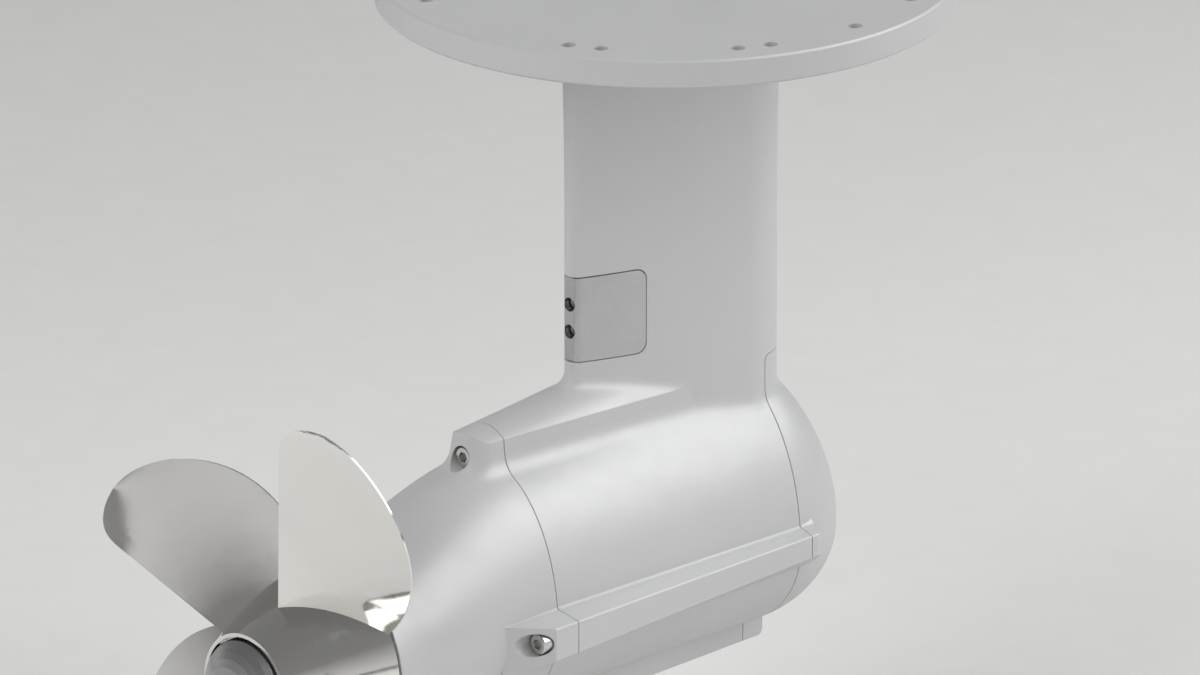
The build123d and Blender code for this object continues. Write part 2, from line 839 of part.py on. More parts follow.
def tail_cover(outer):
    """Rear cover: bearing seat in front, shaft seals behind, ribs between tube and wall."""
    cover = outer & block(-far, aft_seam_x, -far, far, axis_z - far, -flange_t)
    hollow = ring(tail_cavity_end_x, aft_seam_x + over, tail_tube_r, tail_cavity_r)
    for k in range(tail_rib_count):
        rib = block(tail_cavity_end_x - over, aft_seam_x - tail_rib_setback, -tail_rib_t / 2,
                    tail_rib_t / 2, axis_z + tail_tube_r - over, axis_z + tail_cavity_r + over)
        hollow -= around(rib, 360 / tail_rib_count * (k + 0.5))
    cover -= hollow
    bearing_front = rear_bearing_x + rear_bearing_width
    cover -= ring(bearing_front, aft_seam_x + over, 0.0, tail_tube_r + over)
    cover -= ring(rear_bearing_x, bearing_front + over, 0.0, rear_bearing_r)
    cover -= ring(tail_x - over, rear_bearing_x + over, 0.0, tail_bore_r)
    cover -= ring(tail_x - over, seal_front_x(), 0.0, shaft_seal_r)
    cover -= ring(ring_x(), ring_x() + retaining_ring_t, 0.0, shaft_seal_r + retaining_ring_bite)
    for bore in tie_bolt_bores():
        cover -= bore
    return cover


def flat_gasket(x, inner_r):
    """Thin gasket in a seam, set back so that the seam shows as a fine line."""
    sheet = extrude(middle_egg(x, gasket_inset), amount=seam_gap)
    sheet -= ring(x - over, x + seam_gap + over, 0.0, inner_r)
    for above, y, head_x in tie_bolt_places():
        sheet -= rod_x(x - over, x + seam_gap + over, y, above, tie_bolt_r + tie_bolt_clearance)
    return sheet


def tie_bolts():
    bolts = []
    for above, y, head_x in tie_bolt_places():
        seat_x = head_x + tie_head_h
        head = rod_x(head_x, seat_x, y, above, tie_head_r)
        head = chamfer(head.edges().filter_by(GeomType.CIRCLE).group_by(Axis.X)[0], tie_head_chamfer)
        bolt = head + rod_x(seat_x, tie_tip_x - tie_tip_gap, y, above, tie_bolt_r)
        socket = Plane(origin=(head_x, y, axis_z + above), x_dir=(0, 1, 0), z_dir=(1, 0, 0))
        bolt -= extrude(socket * RegularPolygon(tie_socket_r, 6), amount=tie_socket_depth)
        bolts.append(bolt)
    return Compound(bolts)


# Motor

def stator_core():
    rear_x = stator_front_x - stator_length
    core = ring(rear_x, stator_front_x, motor_bore_r - back_iron_t, motor_bore_r)
    tip_half = math.pi * stator_inner_r / slot_count - slot_opening / 2
    for k in range(slot_count):
        tooth = block(rear_x, stator_front_x, -tooth_width / 2, tooth_width / 2,
                      axis_z + tooth_tip_r - over, axis_z + motor_bore_r - back_iron_t / 2)
        tip = block(rear_x, stator_front_x, -tip_half, tip_half,
                    axis_z + stator_inner_r / 2, axis_z + tooth_tip_r)
        core += around(tooth + tip, 360 / slot_count * k)
    return core - ring(rear_x - over, stator_front_x + over, 0.0, stator_inner_r)


def stator_coils():
    """One coil around each tooth, with its turns bent round both ends of the core."""
    rear_x = stator_front_x - stator_length
    low = axis_z + tooth_tip_r + coil_clearance
    coil_out_half = tooth_width / 2 + coil_clearance + coil_width
    iron_r = motor_bore_r - back_iron_t
    high = axis_z + math.sqrt(iron_r ** 2 - coil_out_half ** 2) - coil_clearance
    inner = tooth_width / 2 + coil_clearance
    coils = []
    for k in range(slot_count):
        coil = block(rear_x - coil_clearance - coil_width, stator_front_x + coil_clearance + coil_width,
                     -coil_out_half, coil_out_half, low, high)
        coil = fillet(coil.edges().filter_by(Axis.Z), coil_bend_r)
        coil -= block(rear_x - coil_clearance, stator_front_x + coil_clearance, -inner, inner,
                      low - over, high + over)
        coils.append(around(coil, 360 / slot_count * k))
    return Compound(coils)


def rotor_outer_r():
    return stator_inner_r - air_gap - magnet_t


def key_block(grow):
    middle = stator_front_x - stator_length / 2
    half = key_length / 2
    return block(middle - half, middle + half, -key_width / 2, key_width / 2,
                 axis_z + shaft_r - key_height / 2 - grow, axis_z + shaft_r + key_height / 2 + grow)


def rotor_core():
    rear_x = stator_front_x - stator_length
    core = ring(rear_x, stator_front_x, shaft_r, rotor_outer_r())
    for k in range(rotor_window_count):
        window = rod_x(rear_x - over, stator_front_x + over, 0, rotor_window_circle_r, rotor_window_r)
        core -= around(window, 360 / rotor_window_count * (k + 0.5))
    return core - key_block(0.0)


def rotor_magnets():
    """Curved magnets on the rotor's surface."""
    rear_x = stator_front_x - stator_length
    shell = ring(rear_x, stator_front_x, rotor_outer_r(), rotor_outer_r() + magnet_t)
    half = math.radians(half_turn / magnet_count * magnet_share)
    reach = stator_inner_r * 2
    wedge = Polyline((0, 0), (reach * math.sin(half), reach * math.cos(half)),
                     (-reach * math.sin(half), reach * math.cos(half)), close=True)
    sector = extrude(across(rear_x) * make_face(wedge), amount=stator_length)
    magnet = shell & sector
    return Compound([around(magnet, 360 / magnet_count * k) for k in range(magnet_count)])


# Bearings

def ball_bearing(x_low, width, bore_r, outer_r, ball_r, count):
    """Outer race, balls and inner race of a deep-groove bearing."""
    pitch_r = (bore_r + outer_r) / 2
    middle = x_low + width / 2
    land = ball_r * race_land_share
    outer = ring(x_low, x_low + width, pitch_r + land, outer_r - race_seat_gap)
    inner = ring(x_low, x_low + width, bore_r + race_seat_gap, pitch_r - land)
    outer -= groove(middle, pitch_r, ball_r + race_seat_gap)
    inner -= groove(middle, pitch_r, ball_r + ball_running_gap)
    ball = Pos(middle, 0, axis_z + pitch_r) * Sphere(ball_r)
    balls = Compound([around(ball, 360 / count * k) for k in range(count)])
    return outer, balls, inner


def groove(x, pitch_r, radius):
    circle = Plane(origin=(x, 0, axis_z + pitch_r), x_dir=(1, 0, 0), z_dir=(0, -1, 0)) * Circle(radius)
    return revolve(circle, axis=pod_axis)


def carrier_screw_places():
    places = []
    for k in range(carrier_screw_count):
        angle = math.radians(360 / carrier_screw_count * (k + 0.5))
        y = carrier_screw_circle_r * math.sin(angle)
        places.append((y, carrier_screw_circle_r * math.cos(angle)))
    return places


def bearing_carrier():
    """Bulkhead that holds the front bearing and closes the motor's bore."""
    front = front_seam_x
    plate = ring(front - carrier_t, front, front_bearing_r - carrier_lip, motor_bore_r - carrier_gap)
    plate += ring(front - carrier_flange_t, front, motor_bore_r - carrier_root, carrier_flange_r)
    plate -= ring(front_bearing_x, front_bearing_x + front_bearing_width, 0.0, front_bearing_r)
    for y, above in carrier_screw_places():
        plate -= rod_x(front - carrier_flange_t - over, front + over, y, above, carrier_screw_r)
    return plate


def carrier_screws():
    screws = []
    front = front_seam_x
    for y, above in carrier_screw_places():
        screw = rod_x(front, front + carrier_screw_head_h, y, above, carrier_screw_head_r)
        screw += rod_x(front - carrier_screw_length, front, y, above, carrier_screw_r)
        screws.append(screw)
    return Compound(screws)


def bearing_nut():
    low = front_bearing_x + front_bearing_width
    return ring(low, low + bearing_nut_t, front_journal_r, bearing_nut_r)


# Shaft and seals

def ring_x():
    """Aft face of the retaining ring behind the shaft seals."""
    return tail_x + retaining_ring_depth


def seal_front_x():
    return ring_x() + retaining_ring_t + shaft_seal_count * shaft_seal_width


def spline_bar(x_low, x_high, grow):
    """Toothed bar that locks the drive sleeve to the shaft."""
    bar = ring(x_low, x_high, 0, spline_root_r + grow)
    half = spline_tooth_width / 2 + grow
    for k in range(spline_teeth):
        tooth = block(x_low, x_high, -half, half, axis_z + spline_root_r / 2, axis_z + spline_tip_r + grow)
        bar += around(tooth, 360 / spline_teeth * k)
    return bar


def propeller_shaft():
    rear_seat_x = rear_bearing_x + rear_bearing_width
    tip = front_bearing_x + front_bearing_width + bearing_nut_t + shaft_tip_stand
    profile = [(shaft_end_x, 0), (tip, 0), (tip, front_journal_r), (front_bearing_x, front_journal_r),
               (front_bearing_x, shaft_r), (rear_seat_x, shaft_r), (rear_seat_x, journal_r),
               (drive_front_x, journal_r), (drive_front_x, thread_r), (shaft_end_x, thread_r)]
    shaft = turned(*profile)
    shaft += spline_bar(drive_aft_x, drive_front_x, 0.0)
    shaft -= key_block(0.0)
    shaft -= cotter_hole(cotter_r)
    shaft -= rod_x(shaft_end_x - over, cone_screw_tip_x(), 0, 0, cone_screw_r)
    return shaft


def shaft_seals():
    seals = []
    for k in range(shaft_seal_count):
        low = ring_x() + retaining_ring_t + k * shaft_seal_width
        high = low + shaft_seal_width - shaft_seal_play
        seals.append(ring(low, high, journal_r + shaft_seal_gap, shaft_seal_r))
    return Compound(seals)


def seal_retaining_ring():
    low = ring_x()
    outer = shaft_seal_r + retaining_ring_bite
    high = low + retaining_ring_t
    half = retaining_ring_mouth / 2
    mouth = block(low - over, high + over, -half, half, axis_z - outer - over, axis_z)
    return ring(low, high, retaining_ring_inner_r, outer) - mouth


# Propeller

def blade_radius(phi):
    """Radius of the blade's outline, phi degrees round from its trailing edge."""
    share = phi / blade_sweep
    full = blade_scale_r * sum(factor * share ** power for power, factor in enumerate(blade_outline))
    return full * (1 - blade_corner_drop * math.exp(-phi / blade_corner_angle))


def blade_height(phi):
    """How far along the blade its outline reaches at an angle."""
    return blade_radius(phi) * math.cos(math.radians(phi - blade_tilt))


def blade_peak():
    """Angle at which the outline reaches furthest along the blade."""
    steps = 600
    return max((blade_sweep * step / steps for step in range(steps + 1)), key=blade_height)


def outline_phi(level, low, high):
    """Angle between low and high at which the outline reaches a level along the blade."""
    rising = blade_height(high) > blade_height(low)
    for _ in range(40):
        middle = (low + high) / 2
        if (blade_height(middle) < level) == rising:
            low = middle
        else:
            high = middle
    return low


def blade_section(level):
    """Section across the blade at one level, cambered along the screw surface."""
    peak = blade_peak()
    lead_phi = outline_phi(level, peak, blade_sweep)
    trail_phi = outline_phi(level, 0.0, peak) if level > blade_height(0.0) else 0.0
    lead = level * math.tan(math.radians(lead_phi - blade_tilt))
    trail = level * math.tan(math.radians(trail_phi - blade_tilt))
    thickest = blade_root_t + (blade_tip_t - blade_root_t) * level / blade_radius(peak)
    face = []
    back = []
    for step in range(blade_chord_steps + 1):
        share = step / blade_chord_steps
        along = trail + (lead - trail) * share
        phi = blade_tilt + math.degrees(math.atan2(along, level))
        radius = math.hypot(along, level)
        screw = blade_pitch * phi / 360 - blade_rake * (radius - blade_rake_r)
        x = hub_aft_x + blade_setback + screw
        half = (blade_edge_t + (thickest - blade_edge_t) * 4 * share * (1 - share)) / 2
        face.append((x - half, -along))
        back.append((x + half, -along))
    lines = [Spline(*face), Line(face[-1], back[-1]), Spline(*reversed(back)), Line(back[0], face[0])]
    return Plane(origin=(0, 0, axis_z + level)) * make_face(lines)


def blade():
    """Blade, lofted through sections from inside the hub to its tip."""
    reach = blade_height(blade_peak()) - blade_root_level
    return loft([blade_section(blade_root_level + reach * share) for share in blade_level_shares])


def hub_profile(grow, x_low, x_high):
    """Corners along the hub's outside, bulged a little, offset by grow."""
    corners = []
    steps = 6
    for step in range(steps + 1):
        share = step / steps
        x = x_low + (x_high - x_low) * share
        along = (x - hub_aft_x) / (hub_front_x - hub_aft_x)
        radius = hub_aft_r + (hub_front_r - hub_aft_r) * along + hub_bulge * 4 * along * (1 - along)
        corners.append((x, radius + grow))
    return corners


def propeller():
    """Hub and blades, cast in one piece."""
    outside = hub_profile(0.0, hub_aft_x, hub_front_x)
    body = turned((hub_aft_x, 0), *outside, (hub_front_x, 0))
    one_blade = blade()
    for k in range(blade_count):
        body += around(one_blade, -(blade_trail_angle - blade_tilt + 360 / blade_count * k))
    body &= block(hub_aft_x - far, hub_front_x, -far, far, axis_z - far, axis_z + far)
    web_x = hub_aft_x + hub_web_setback
    mouth_x = hub_front_x + over
    core = hub_profile(-hub_wall, web_x, hub_front_x)
    body -= turned((web_x, hub_tube_r), *core, (mouth_x, core[-1][1]), (mouth_x, hub_tube_r))
    body -= ring(hub_aft_x - over, hub_aft_x + hub_recess_depth, 0.0, hub_aft_r - hub_rim_wall)
    return body - ring(hub_aft_x - over, mouth_x, 0.0, bush_r)


def thrust_washer():
    aft = drive_front_x - thrust_washer_t
    washer = ring(aft, drive_front_x, 0, thrust_washer_r)
    return washer - spline_bar(aft - over, drive_front_x + over, spline_clearance)


def drive_sleeve():
    front = drive_front_x - thrust_washer_t
    sleeve = ring(drive_aft_x, front, 0, sleeve_r)
    return sleeve - spline_bar(drive_aft_x - over, front + over, spline_clearance)


def propeller_bush():
    return ring(drive_aft_x, drive_front_x - thrust_washer_t, sleeve_r, bush_r)


def prop_washer():
    return ring(drive_aft_x - prop_washer_t, drive_aft_x, thread_r, prop_washer_r)


def nut_aft_x():
    return drive_aft_x - prop_washer_t - nut_height - nut_crown_height


def cotter_hole(radius):
    """Cross hole through the nut's crown and the shaft."""
    x = nut_aft_x() + nut_crown_height / 2
    return rod_z(x, 0, axis_z - cotter_length / 2, axis_z + cotter_length / 2, radius)


def prop_nut():
    """Castellated nut."""
    aft = nut_aft_x()
    front = drive_aft_x - prop_washer_t
    hexagon = RegularPolygon(nut_flats / 2, 6, major_radius=False)
    nut = extrude(across(front - nut_height) * hexagon, amount=nut_height)
    nut += ring(aft, front - nut_height, 0, nut_crown_r)
    nut -= ring(aft - over, front + over, 0, thread_r)
    for k in range(nut_slot_count):
        slot = block(aft - over, aft + nut_crown_height, -nut_slot_width / 2, nut_slot_width / 2,
                     axis_z - nut_flats, axis_z + nut_flats)
        nut -= around(slot, half_turn / nut_slot_count * k)
    return nut


def cone_screw_tip_x():
    return cone_tip_x + cone_screw_head_h + cone_screw_length


def prop_cone():
    """Domed cap behind the propeller nut; it is the shaft's anode."""
    steps = 8
    rim_x = cone_skirt_x - cone_rim_h
    dome = [(cone_skirt_x, 0), (cone_skirt_x, cone_r)]
    for step in range(steps + 1):
        angle = math.radians(90 * step / steps)
        dome.append((rim_x - (rim_x - cone_tip_x) * math.sin(angle), cone_r * math.cos(angle)))
    cap = turned(*dome)
    mouth_x = cone_skirt_x + over
    inner_r = cone_r - cone_wall
    cap -= turned((mouth_x, 0), (shaft_end_x, 0), (shaft_end_x, nut_crown_r + cone_nut_gap),
                  (rim_x, inner_r), (mouth_x, inner_r))
    head_hole_r = cone_screw_head_r + cone_screw_head_gap
    cap -= rod_x(cone_tip_x - over, cone_tip_x + cone_screw_head_h, 0, 0, head_hole_r)
    return cap - rod_x(cone_tip_x, shaft_end_x + over, 0, 0, cone_screw_r)


def cone_screw():
    seat = cone_tip_x + cone_screw_head_h
    screw = rod_x(cone_tip_x, seat, 0, 0, cone_screw_head_r)
    screw += rod_x(seat, cone_screw_tip_x(), 0, 0, cone_screw_r)
    socket = Plane(origin=(cone_tip_x, 0, axis_z), x_dir=(0, 1, 0), z_dir=(1, 0, 0))
    return screw - extrude(socket * RegularPolygon(cone_screw_socket_r, 6), amount=cone_screw_head_h / 2)


# Leads, terminals and the rotor sensor

def phase_leads():
    low = axis_z + terminal_top_above_axis
    return Compound([rod_z(x, y, low, -socket_plate_t, lead_r) for x, y in lead_places()])


def signal_x():
    """The signal lead rises from the top edge of the sensor board."""
    return sensor_board_x() + sensor_board_t / 2


def signal_lead():
    low = axis_z + sensor_board_low + sensor_board_height
    return rod_z(signal_x(), signal_y, low, -socket_plate_t, signal_lead_r)


def sensor_board_x():
    return front_seam_x - carrier_t - sensor_spacer_length - sensor_board_t


def terminal_block():
    """Block between the windings' front ends and the three leads."""
    aft = stator_front_x + coil_clearance + coil_width
    front = front_seam_x - carrier_t
    half = lead_circle_r + lead_r + terminal_wall
    return block(aft, front, power_y - half, power_y + half,
                 axis_z + terminal_bottom_above_axis, axis_z + terminal_top_above_axis)


def sensor_board():
    """Small circuit board that reads the rotor's position."""
    low = axis_z + sensor_board_low
    x = sensor_board_x()
    half = sensor_board_width / 2
    return block(x, x + sensor_board_t, signal_y - half, signal_y + half, low, low + sensor_board_height)


def sensor_spacers():
    middle = sensor_board_low + sensor_board_height / 2
    x = sensor_board_x() + sensor_board_t
    spacers = []
    for side in (-1, 1):
        y = signal_y + side * sensor_spacer_pitch / 2
        spacers.append(rod_x(x, x + sensor_spacer_length, y, middle, sensor_spacer_r))
    return Compound(spacers)


# Assembly

def all_parts():
    """Every separate piece, by name."""
    outer = outer_shape()
    front_bearing = ball_bearing(front_bearing_x, front_bearing_width, front_journal_r, front_bearing_r,
                                 front_ball_r, front_ball_count)
    rear_bearing = ball_bearing(rear_bearing_x, rear_bearing_width, journal_r, rear_bearing_r,
                                rear_ball_r, rear_ball_count)
    return {
        "mounting_flange": mounting_flange(),
        "flange_screws": flange_screws(),
        "flange_seal": flange_seal(),
        "socket_plate": socket_plate(),
        "socket_plate_seal": plate_seal(),
        "socket_plate_screws": socket_plate_screws(),
        "power_socket": power_socket(),
        "signal_socket": signal_socket(),
        "phase_leads": phase_leads(),
        "signal_lead": signal_lead(),
        "terminal_block": terminal_block(),
        "sensor_board": sensor_board(),
        "sensor_spacers": sensor_spacers(),
        "strut_housing": strut_housing(outer),
        "anode": anode(outer),
        "anode_screws": anode_screws(),
        "nose_cover": nose_cover(outer),
        "tail_cover": tail_cover(outer),
        "front_gasket": flat_gasket(front_seam_x, carrier_flange_r + carrier_gap),
        "rear_gasket": flat_gasket(aft_seam_x, motor_bore_r),
        "tie_bolts": tie_bolts(),
        "stator_core": stator_core(),
        "stator_coils": stator_coils(),
        "bearing_carrier": bearing_carrier(),
        "carrier_screws": carrier_screws(),
        "front_bearing_outer_race": front_bearing[0],
        "front_bearing_balls": front_bearing[1],
        "front_bearing_inner_race": front_bearing[2],
        "rear_bearing_outer_race": rear_bearing[0],
        "rear_bearing_balls": rear_bearing[1],
        "rear_bearing_inner_race": rear_bearing[2],
        "shaft_seals": shaft_seals(),
        "seal_retaining_ring": seal_retaining_ring(),
        "rotor_core": rotor_core(),
        "rotor_magnets": rotor_magnets(),
        "rotor_key": key_block(0.0),
        "bearing_nut": bearing_nut(),
        "propeller_shaft": propeller_shaft(),
        "thrust_washer": thrust_washer(),
        "drive_sleeve": drive_sleeve(),
        "propeller_bush": propeller_bush(),
        "propeller": propeller(),
        "prop_washer": prop_washer(),
        "prop_nut": prop_nut() - cotter_hole(cotter_r),
        "cotter_pin": cotter_hole(cotter_r),
        "prop_cone": prop_cone(),
        "cone_screw": cone_screw(),
    }


os.makedirs("parts", exist_ok=True)
for node, shape in all_parts().items():
    export_step(shape, f"parts/{node}.step")
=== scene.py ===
import json
import math

import bpy
from mathutils import Matrix, Vector

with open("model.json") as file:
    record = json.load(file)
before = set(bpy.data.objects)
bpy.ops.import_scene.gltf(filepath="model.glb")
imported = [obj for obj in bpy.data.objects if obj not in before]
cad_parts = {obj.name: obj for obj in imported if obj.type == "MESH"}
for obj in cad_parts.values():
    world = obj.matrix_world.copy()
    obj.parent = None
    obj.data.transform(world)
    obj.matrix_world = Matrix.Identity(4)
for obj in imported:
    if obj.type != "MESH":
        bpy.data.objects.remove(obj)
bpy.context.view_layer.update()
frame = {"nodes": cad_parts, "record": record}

# The pod drive hangs from its flange: the flange's upper face is at z = 0, and +X points to the bow.

# Camera
photo_width = 1200
focal_pixels = 15370.0
sensor_width = 36.0
camera_right = Vector((0.7022, -0.7120, 0.0))
camera_up = Vector((0.2402, 0.2369, 0.9414))
camera_back = Vector((-0.6703, -0.6611, 0.3373))
camera_shift_right = 0.04126
camera_shift_up = 0.22696
camera_distance = 9.441
camera_nearest = 0.1
camera_farthest = 200.0

# Studio
floor_z = -0.56
floor_half = 60.0
floor_colour = (0.80, 0.80, 0.79)
floor_roughness = 0.7
horizon_light = 0.66
low_sky_light = 0.24
high_sky_light = 0.20
low_sky_height = 0.42
lamp_aim = (-0.1, 0.0, -0.3)
key_place = (1.6, -1.7, 1.6)
key_size = (3.0, 2.6)
key_power = 72.0
aft_place = (-2.6, 0.2, 2.0)
aft_size = (2.4, 2.4)
aft_power = 72.0

# Colours of the finishes
housing_colour = (0.560, 0.563, 0.565)
flange_colour = (0.545, 0.548, 0.550)
propeller_colour = (0.790, 0.780, 0.755)
anode_colour = (0.500, 0.502, 0.510)
stainless_colour = (0.620, 0.615, 0.600)
bearing_colour = (0.66, 0.66, 0.67)
rubber_colour = (0.022, 0.022, 0.023)
plate_colour = (0.50, 0.51, 0.52)
plastic_colour = (0.030, 0.030, 0.032)
sheath_colour = (0.095, 0.036, 0.012)
lamination_colour = (0.24, 0.24, 0.25)
copper_colour = (0.56, 0.26, 0.11)
magnet_colour = (0.46, 0.455, 0.44)
mask_colour = (0.015, 0.110, 0.045, 1.0)
other_mask_colour = (0.018, 0.130, 0.050, 1.0)
track_colour = (0.035, 0.200, 0.080, 1.0)
paint_fleck_colour = (0.985, 0.985, 0.985)

# Grain and relief of the finishes: radii, heights and pitches in metres, grain as finer or
# coarser noise along each axis
paint_edge_radius = 0.0009
metal_edge_radius = 0.0004
edge_samples = 6
noise_low = 0.3
noise_high = 0.7
peel_height = 0.00004
grain_height = 0.00003
pebble_height = 0.00006
track_height = 0.00003
wave_height = 0.0002
sheet_pitch = 0.0007
wire_pitch = 0.0012
grain_along_anode = (300.0, 300.0, 900.0)
grain_round_fasteners = (2400.0, 500.0, 500.0)
grain_round_shaft = (2600.0, 300.0, 300.0)
grain_plate = (500.0, 500.0, 900.0)
grain_magnet = (700.0, 700.0, 700.0)
polishing_marks = (60.0, 900.0, 900.0)


# Node helpers

def new_material(name):
    """Empty node material with one shader, and the shader and its tree."""
    material = bpy.data.materials.new(name)
    material.use_nodes = True
    tree = material.node_tree
    return material, tree, tree.nodes["Principled BSDF"]


def object_position(tree, stretch=(1.0, 1.0, 1.0)):
    """Place in the part's own frame, stretched along its axes."""
    place = tree.nodes.new("ShaderNodeTexCoord")
    mapping = tree.nodes.new("ShaderNodeMapping")
    mapping.inputs["Scale"].default_value = stretch
    tree.links.new(place.outputs["Object"], mapping.inputs["Vector"])
    return mapping.outputs["Vector"]


def noise(tree, vector, scale, detail=2.0):
    texture = tree.nodes.new("ShaderNodeTexNoise")
    texture.inputs["Scale"].default_value = scale
    texture.inputs["Detail"].default_value = detail
    tree.links.new(vector, texture.inputs["Vector"])
    return texture.outputs["Fac"]


def spread(tree, value, low, high):
    """Maps a noise's middle range to the range from low to high."""
    node = tree.nodes.new("ShaderNodeMapRange")
    node.inputs["From Min"].default_value = noise_low
    node.inputs["From Max"].default_value = noise_high
    node.inputs["To Min"].default_value = low
    node.inputs["To Max"].default_value = high
    tree.links.new(value, node.inputs["Value"])
    return node.outputs["Result"]


def tint(tree, value, colour, depth):
    """Colour that varies a little darker and lighter with a noise."""
    node = tree.nodes.new("ShaderNodeMix")
    node.data_type = "RGBA"
    dark = [c * (1.0 - depth) for c in colour]
    light = [min(1.0, c * (1.0 + depth)) for c in colour]
    node.inputs["A"].default_value = (*dark, 1.0)
    node.inputs["B"].default_value = (*light, 1.0)
    tree.links.new(spread(tree, value, 0.0, 1.0), node.inputs["Factor"])
    return node.outputs["Result"]


def bump(tree, height, distance, strength, under=None):
    node = tree.nodes.new("ShaderNodeBump")
    node.inputs["Distance"].default_value = distance
    node.inputs["Strength"].default_value = strength
    tree.links.new(height, node.inputs["Height"])
    if under is not None:
        tree.links.new(under, node.inputs["Normal"])
    return node.outputs["Normal"]


def soft_edges(tree, radius):
    """Normals rounded at sharp edges, as paint and casting leave them."""
    node = tree.nodes.new("ShaderNodeBevel")
    node.samples = edge_samples
    node.inputs["Radius"].default_value = radius
    return node.outputs["Normal"]


# Finishes

def painted(name, colour, roughness):
    """Satin paint with faint orange peel and a slight drift in tone."""
    material, tree, shader = new_material(name)
    place = object_position(tree)
    drift = noise(tree, place, 9.0, 3.0)
    fleck = noise(tree, place, 5200.0, 1.0)
    peel = noise(tree, place, 620.0, 2.0)
    tone = tint(tree, drift, colour, 0.018)
    flecked = tree.nodes.new("ShaderNodeMix")
    flecked.data_type = "RGBA"
    flecked.blend_type = "MULTIPLY"
    flecked.inputs["Factor"].default_value = 1.0
    tree.links.new(tone, flecked.inputs["A"])
    tree.links.new(tint(tree, fleck, paint_fleck_colour, 0.015), flecked.inputs["B"])
    tree.links.new(flecked.outputs["Result"], shader.inputs["Base Color"])
    gloss = spread(tree, noise(tree, place, 60.0), roughness - 0.03, roughness + 0.03)
    tree.links.new(gloss, shader.inputs["Roughness"])
    relief = bump(tree, peel, peel_height, 0.35, soft_edges(tree, paint_edge_radius))
    tree.links.new(relief, shader.inputs["Normal"])
    shader.inputs["Metallic"].default_value = 0.20
    shader.inputs["Specular IOR Level"].default_value = 0.5
    return material


def polished(name, colour, roughness):
    """Mirror-polished cast steel with slight waves and fine polishing marks."""
    material, tree, shader = new_material(name)
    place = object_position(tree)
    streaks = noise(tree, object_position(tree, polishing_marks), 1.0, 3.0)
    waves = noise(tree, place, 24.0, 2.0)
    tree.links.new(tint(tree, waves, colour, 0.02), shader.inputs["Base Color"])
    tree.links.new(spread(tree, streaks, roughness - 0.02, roughness + 0.03), shader.inputs["Roughness"])
    tree.links.new(bump(tree, waves, wave_height, 0.08), shader.inputs["Normal"])
    shader.inputs["Metallic"].default_value = 1.0
    return material


def brushed(name, colour, roughness, stretch, depth=0.05):
    """Bare metal with grain along one direction."""
    material, tree, shader = new_material(name)
    grain = noise(tree, object_position(tree, stretch), 1.0, 4.0)
    cloud = noise(tree, object_position(tree), 45.0, 3.0)
    tree.links.new(tint(tree, grain, colour, depth), shader.inputs["Base Color"])
    tree.links.new(spread(tree, cloud, roughness - 0.05, roughness + 0.06), shader.inputs["Roughness"])
    relief = bump(tree, grain, grain_height, 0.5, soft_edges(tree, metal_edge_radius))
    tree.links.new(relief, shader.inputs["Normal"])
    shader.inputs["Metallic"].default_value = 1.0
    return material


def moulded(name, colour, roughness, grain_scale):
    """Moulded plastic or rubber with a fine pebbled skin."""
    material, tree, shader = new_material(name)
    place = object_position(tree)
    pebble = noise(tree, place, grain_scale, 2.0)
    cloud = noise(tree, place, 50.0, 3.0)
    tree.links.new(tint(tree, cloud, colour, 0.12), shader.inputs["Base Color"])
    tree.links.new(spread(tree, pebble, roughness - 0.06, roughness + 0.06), shader.inputs["Roughness"])
    tree.links.new(bump(tree, pebble, pebble_height, 0.5), shader.inputs["Normal"])
    return material


def banded(name, colour, roughness, metallic, band_pitch, direction):
    """Metal built up in fine layers or turns, such as core sheets or wire."""
    material, tree, shader = new_material(name)
    place = object_position(tree)
    wave = tree.nodes.new("ShaderNodeTexWave")
    wave.bands_direction = direction
    wave.inputs["Scale"].default_value = math.pi / (10.0 * band_pitch)
    wave.inputs["Distortion"].default_value = 0.4
    tree.links.new(place, wave.inputs["Vector"])
    tree.links.new(tint(tree, wave.outputs["Fac"], colour, 0.18), shader.inputs["Base Color"])
    gloss = spread(tree, noise(tree, place, 70.0), roughness - 0.06, roughness + 0.06)
    tree.links.new(gloss, shader.inputs["Roughness"])
    tree.links.new(bump(tree, wave.outputs["Fac"], band_pitch / 3, 0.6), shader.inputs["Normal"])
    shader.inputs["Metallic"].default_value = metallic
    return material


def circuit_board(name):
    """Green solder mask over raised copper tracks."""
    material, tree, shader = new_material(name)
    place = object_position(tree)
    tracks = tree.nodes.new("ShaderNodeTexBrick")
    tracks.inputs["Scale"].default_value = 420.0
    tracks.inputs["Color1"].default_value = mask_colour
    tracks.inputs["Color2"].default_value = other_mask_colour
    tracks.inputs["Mortar"].default_value = track_colour
    tree.links.new(place, tracks.inputs["Vector"])
    tree.links.new(tracks.outputs["Color"], shader.inputs["Base Color"])
    tree.links.new(spread(tree, noise(tree, place, 300.0), 0.28, 0.40), shader.inputs["Roughness"])
    tree.links.new(bump(tree, tracks.outputs["Fac"], track_height, 0.6), shader.inputs["Normal"])
    return material


